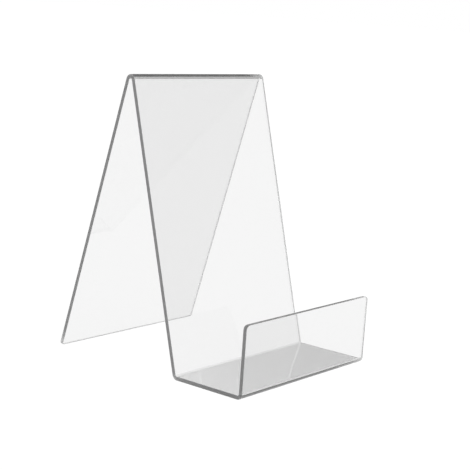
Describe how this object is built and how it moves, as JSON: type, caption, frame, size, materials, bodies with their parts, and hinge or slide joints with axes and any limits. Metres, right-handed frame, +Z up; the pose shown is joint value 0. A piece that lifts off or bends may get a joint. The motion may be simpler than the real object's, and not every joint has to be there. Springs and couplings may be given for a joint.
{
  "type": "photo album stand",
  "caption": "Clear acrylic easel for a photo album: one bent sheet with a back leg, a leaning rest panel, a flat ledge and a low front lip.",
  "frame": {"origin": "centre of the stand's outline on the surface it stands on", "axes": "+X across the sheet, -Y towards the front, where the lip is, +Z up"},
  "size_m": [0.15, 0.18, 0.2125],
  "materials": {
    "clear_acrylic": "clear cast acrylic, glossy faces, smoothed cut edges"
  },
  "bodies": {
    "root": {"back_leg": "clear_acrylic", "ridge_bend": "clear_acrylic", "rest_panel": "clear_acrylic", "heel_bend": "clear_acrylic", "ledge": "clear_acrylic", "toe_bend": "clear_acrylic", "front_lip": "clear_acrylic"}
  },
  "joints": []
}
